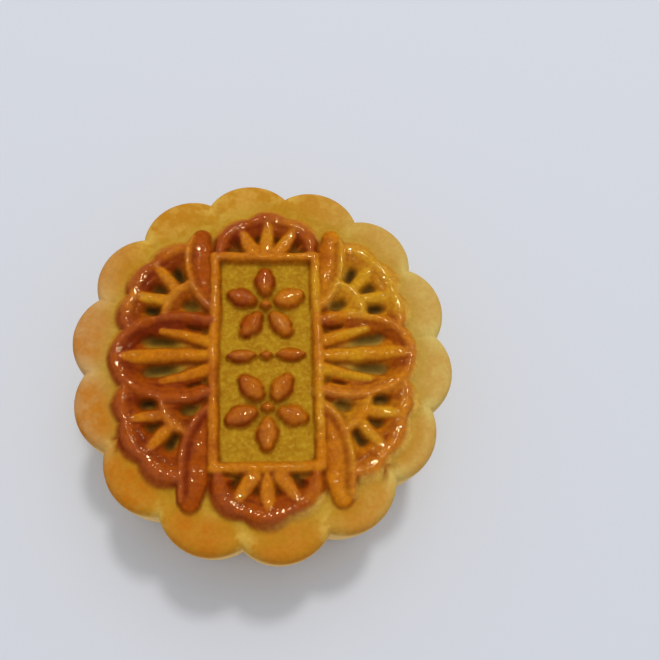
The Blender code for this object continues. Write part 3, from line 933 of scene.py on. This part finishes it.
class Nodes:
    """Short ways to add the nodes that the crust's material is made of, with its place on the cake,
    how far it faces +Y and its three noises, which many of them read."""

    def __init__(self, material):
        self.tree = material.node_tree
        coordinates = self.add("ShaderNodeTexCoord")
        self.place = coordinates.outputs["Object"]
        self.across, self.along, self.up = self.parts(self.place)
        self.facing_far = self.parts(coordinates.outputs["Normal"])[1]
        self.patches = self.noise(*PATCHES)
        self.mottle = self.noise(*MOTTLE)
        self.grain = self.noise(*GRAIN)

    def add(self, kind, **settings):
        """A new node of this kind."""
        node = self.tree.nodes.new(kind)
        for name, value in settings.items():
            setattr(node, name, value)
        return node

    def feed(self, socket, value):
        """Link value to the socket where it is a socket too, or else set it there."""
        if isinstance(value, bpy.types.NodeSocket):
            self.tree.links.new(value, socket)
        else:
            socket.default_value = value

    def parts(self, vector):
        """The x, y and z of a vector."""
        node = self.add("ShaderNodeSeparateXYZ")
        self.feed(node.inputs[0], vector)
        return tuple(node.outputs)

    def mask(self, name):
        """One of the masks that the mesh carries."""
        return self.add("ShaderNodeAttribute", attribute_name=name).outputs["Fac"]

    def mix(self, factor, one, other, blend="MIX"):
        """From colour one to colour other by factor."""
        node = self.add("ShaderNodeMix", data_type="RGBA", blend_type=blend)
        self.feed(node.inputs[0], factor)
        self.feed(node.inputs[6], one)
        self.feed(node.inputs[7], other)
        return node.outputs[2]

    def math(self, operation, one, other=0.0, clamp=False):
        """One operation on two numbers."""
        node = self.add("ShaderNodeMath", operation=operation, use_clamp=clamp)
        self.feed(node.inputs[0], one)
        self.feed(node.inputs[1], other)
        return node.outputs[0]

    def times(self, one, other):
        """The product of two numbers."""
        return self.math("MULTIPLY", one, other)

    def plus(self, one, other, clamp=False):
        """The sum of two numbers, kept from 0 to 1 where clamp is set."""
        return self.math("ADD", one, other, clamp)

    def spread(self, value, low, high, to_low=0.0, to_high=1.0):
        """The value's range from low to high, spread over to_low to to_high."""
        node = self.add("ShaderNodeMapRange", interpolation_type="SMOOTHSTEP")
        self.feed(node.inputs["Value"], value)
        self.feed(node.inputs["From Min"], low)
        self.feed(node.inputs["From Max"], high)
        self.feed(node.inputs["To Min"], to_low)
        self.feed(node.inputs["To Max"], to_high)
        return node.outputs["Result"]

    def zone(self, place, start, end, *strengths):
        """As spread, between two places in millimetres."""
        return self.spread(place, start * MM, end * MM, *strengths)

    def noise(self, size, detail):
        """Noise with features of this size in millimetres."""
        node = self.add("ShaderNodeTexNoise")
        self.feed(node.inputs["Vector"], self.place)
        self.feed(node.inputs["Scale"], 1.0 / (size * MM))
        self.feed(node.inputs["Detail"], detail)
        self.feed(node.inputs["Roughness"], NOISE_ROUGHNESS)
        return node.outputs["Fac"]

    def bump(self, height, size, detail, below=None, strength=1.0):
        """A normal tilted by bumps of this height and size in millimetres, on the one below them."""
        node = self.add("ShaderNodeBump")
        self.feed(node.inputs["Strength"], strength)
        self.feed(node.inputs["Distance"], height * MM)
        self.feed(node.inputs["Height"], self.noise(size, detail))
        if below is not None:
            self.feed(node.inputs["Normal"], below)
        return node.outputs["Normal"]


def three_tones(n, share, tones):
    """From the first colour by way of the second to the third."""
    first, second, third = tones
    lower = n.mix(n.spread(share, 0.0, 0.5), first, second)
    return n.mix(n.spread(share, 0.5, 1.0), lower, third)


def rim_colour(n):
    """Gold with pale patches, other tints at the left and right, olive near the relief from less browning
    and painted shade, toasted lobes, and a pale side over a lightly browned foot."""
    blotch = n.plus(n.patches, n.spread(n.mottle, *RIM_MOTTLE))
    colour = n.mix(n.spread(blotch, *RIM_PATCHES), RIM_GOLD, RIM_PALE)
    colour = n.mix(n.zone(n.across, *LEFT_RIM), colour, RIM_LEFT)
    colour = n.mix(n.zone(n.across, *RIGHT_RIM), colour, RIM_RIGHT)
    # Olive near the relief's foot: less browning, and painted shade by its walls
    colour = n.mix(n.times(n.mask("channel"), CHANNEL_TINT), colour, CHANNEL_OLIVE_AND_SHADE)
    toast = n.times(n.mask("toast"), n.spread(n.mottle, *TOAST_MOTTLE))
    colour = n.mix(toast, colour, TOAST)
    colour = n.mix(n.zone(n.up, *LOWER_SIDE), colour, PALE_SIDE)
    browned_foot = n.times(n.zone(n.up, *FOOT), n.spread(n.mottle, *FOOT_MOTTLE))
    return n.mix(browned_foot, colour, TOAST)


def in_frame(n):
    """1 inside the long frame, and 0 outside it."""
    between_sides = n.zone(n.math("ABSOLUTE", n.across), *FIELD_SIDES)
    between_ends = n.zone(n.math("ABSOLUTE", n.along), *FIELD_ENDS)
    return n.times(between_sides, between_ends)


def field_colour(n):
    """The ground inside the frame, greener in patches and with pale grains."""
    colour = n.mix(n.spread(n.mottle, *FIELD_MOTTLE), FIELD_OLIVE, FIELD_GREEN)
    return n.mix(n.spread(n.grain, *FIELD_GRAINS), colour, FIELD_GRAIN)


def browned(n):
    """How brown the relief baked: most to the left, and least in the far corners."""
    share = n.times(n.mask("browning"), n.zone(n.across, *BAKED_SHARE))
    share = n.plus(share, n.zone(n.across, *BAKED_ADDED))
    from_middle = n.zone(n.math("ABSOLUTE", n.across), *FAR_CORNER_ACROSS)
    far_corner = n.times(n.zone(n.along, *FAR_CORNER_ALONG), from_middle)
    share = n.plus(share, n.spread(far_corner, *FAR_CORNER_ADDED))
    return n.plus(share, n.spread(n.patches, *BAKED_PATCHES), clamp=True)


def relief_colour(n, baked):
    """Light gold through amber to brown on crests and flanks, the flanks darker with pooled egg wash and
    with painted shade where they face away from the far lights, and outer walls brown at the left, pale
    at the right and lit gold on the far side, which is painted light."""
    # Flanks that face away from the far lights are darker: painted shade over the browning of pooled egg
    # wash
    flank = n.times(n.mask("flank"), n.spread(n.facing_far, *FLANK_SHADE_FACING))
    flank = n.plus(flank, n.spread(n.mottle, *FLANK_MOTTLE), clamp=True)
    colour = n.mix(flank, three_tones(n, baked, CREST_TONES), three_tones(n, baked, FLANK_BAKE_AND_SHADE_TONES))
    wall = n.mix(n.zone(n.across, *WALL_ACROSS), BROWN_WALL, PALE_WALL)
    # Outer walls that face +Y, towards the lights, turn a lit gold: painted light
    wall = n.mix(n.spread(n.facing_far, *WALL_LIGHT_FACING), wall, LIT_GOLD_WALL)
    return n.mix(n.times(n.mask("outer_wall"), WALL_TINT), colour, wall)


def painted_shade(n, colour, baked):
    """The colour with painted shade in its creases and hollows, and painted shadow in its pits."""
    # Painted shade in the creases and hollows
    crease_shade = n.times(n.mask("crease_shade"), n.spread(baked, *CREASE_BAKED))
    colour = n.mix(crease_shade, colour, CREASE_SHADE_BROWN)
    colour = n.mix(n.times(n.mask("hollow"), HOLLOW_TINT), colour, HOLLOW_SHADE_BROWN)
    # Painted shadow and shade in the pits, most on their far side
    pit_shadow = n.times(n.mask("pit_shadow"), n.zone(n.across, *PIT_ACROSS))
    return n.mix(pit_shadow, colour, PIT_SHADOW_DARK)


def freckled(n, colour):
    """The colour with fine freckles, most on the relief."""
    freckles = n.mix(n.spread(n.grain, *NOISE), FRECKLE_DARK, FRECKLE_LIGHT)
    speckled = n.mix(1.0, colour, freckles, "MULTIPLY")
    return n.mix(n.spread(n.mask("on_ridge"), *FRECKLES), colour, speckled)


def crust_colour(n):
    """Matt gold rim, olive ground, and a relief browned most to the left, whose flanks darken with
    browning and with painted shade, and which has painted shade and shadow in what is pressed into it.
    """
    baked = browned(n)
    colour = n.mix(in_frame(n), rim_colour(n), field_colour(n))
    colour = n.mix(n.mask("on_ridge"), colour, relief_colour(n, baked))
    return freckled(n, painted_shade(n, colour, baked))


def add_egg_wash(n, shader):
    """Make the crust smoother where it is glazed, with a clear coat on the crests, thin in patches."""
    glazed = n.spread(n.times(n.mask("browning"), n.mask("on_ridge")), *GLAZE)
    roughness = n.plus(n.spread(glazed, *GLAZE_ROUGHNESS), n.spread(n.mottle, *MOTTLE_ROUGHNESS))
    wet = n.times(n.mask("crest"), n.spread(n.mottle, *COAT_MOTTLE))
    wet = n.times(wet, n.spread(n.mask("flank"), *COAT_FLANK))
    n.feed(shader.inputs["Roughness"], roughness)
    n.feed(shader.inputs["Specular IOR Level"], SHINE)
    n.feed(shader.inputs["Coat Weight"], n.times(n.times(glazed, wet), COAT_WEIGHT))
    n.feed(shader.inputs["Coat Roughness"], COAT_ROUGHNESS)


def add_bumps(n, shader):
    """Make the surface uneven and grainy, and the coat finely dotted as well."""
    strength = n.spread(n.mask("on_ridge"), *GRAINY_STRENGTH)
    grainy = n.bump(*GRAINY_BUMPS, below=n.bump(*UNEVEN_BUMPS), strength=strength)
    n.feed(shader.inputs["Normal"], grainy)
    n.feed(shader.inputs["Coat Normal"], n.bump(*COAT_BUMPS, below=grainy))


def crust_material():
    """Baked pastry, matt where it is bare and glossy where the egg wash lies."""
    material = bpy.data.materials.new("baked_crust")
    material.use_nodes = True
    shader = material.node_tree.nodes["Principled BSDF"]
    n = Nodes(material)
    n.feed(shader.inputs["Base Color"], crust_colour(n))
    add_egg_wash(n, shader)
    add_bumps(n, shader)
    return material


def plain_material(name, colour, roughness):
    """One even surface."""
    material = bpy.data.materials.new(name)
    material.use_nodes = True
    shader = material.node_tree.nodes["Principled BSDF"]
    shader.inputs["Base Color"].default_value = colour
    shader.inputs["Roughness"].default_value = roughness
    return material


def add_table():
    """The pale table that the cake lies on."""
    bpy.ops.mesh.primitive_plane_add(size=TABLE_SIZE * MM, location=(0.0, 0.0, -TABLE_DROP * MM))
    table = bpy.context.object
    table.name = "table"
    table.data.materials.append(plain_material("pale_glaze", TABLE_WHITE, TABLE_ROUGHNESS))


def add_soft_box(box):
    """A square soft light that faces the cake."""
    light = bpy.data.lights.new(box.name, "AREA")
    light.size = box.size * MM
    light.energy = box.power
    light.color = box.colour
    lamp = bpy.data.objects.new(box.name, light)
    lamp.location = Vector(box.place) * MM
    towards = Vector(LIT_POINT) * MM - lamp.location
    lamp.rotation_euler = towards.to_track_quat("-Z", "Y").to_euler()
    bpy.context.scene.collection.objects.link(lamp)
    return lamp


def add_lights():
    """A window and a lamp beyond the cake that leave no glints, a lamp that only glints, and the
    room's even light."""
    for box in (WINDOW, CEILING_LAMP):
        add_soft_box(box).visible_glossy = False
    add_soft_box(GLINT_LAMP).visible_diffuse = False
    world = bpy.data.worlds.new("room")
    world.use_nodes = True
    background = world.node_tree.nodes["Background"]
    background.inputs["Color"].default_value = ROOM_COLOUR
    background.inputs["Strength"].default_value = ROOM_STRENGTH
    bpy.context.scene.world = world


def add_camera():
    """The photograph's camera."""
    place, aim = Vector(CAMERA_PLACE), Vector(CAMERA_AIM)
    back = (place - aim).normalized()
    right = Vector(CAMERA_UP).cross(back).normalized()
    upward = back.cross(right)
    lens = bpy.data.cameras.new("photo_camera")
    lens.sensor_width = SENSOR
    lens.lens = FOCAL_LENGTH
    lens.clip_start = CAMERA_NEAREST * MM
    camera = bpy.data.objects.new("photo_camera", lens)
    turned = Matrix((right, upward, back)).transposed().to_4x4()
    camera.matrix_world = Matrix.Translation(place * MM) @ turned
    bpy.context.scene.collection.objects.link(camera)
    bpy.context.scene.camera = camera


def main():
    """Dress the cake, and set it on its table."""
    crust = build_crust()
    crust.data.materials.append(crust_material())
    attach(crust, "root")
    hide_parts("mooncake")
    add_table()
    add_lights()
    add_camera()
    bpy.context.scene.view_settings.view_transform = "Standard"


main()
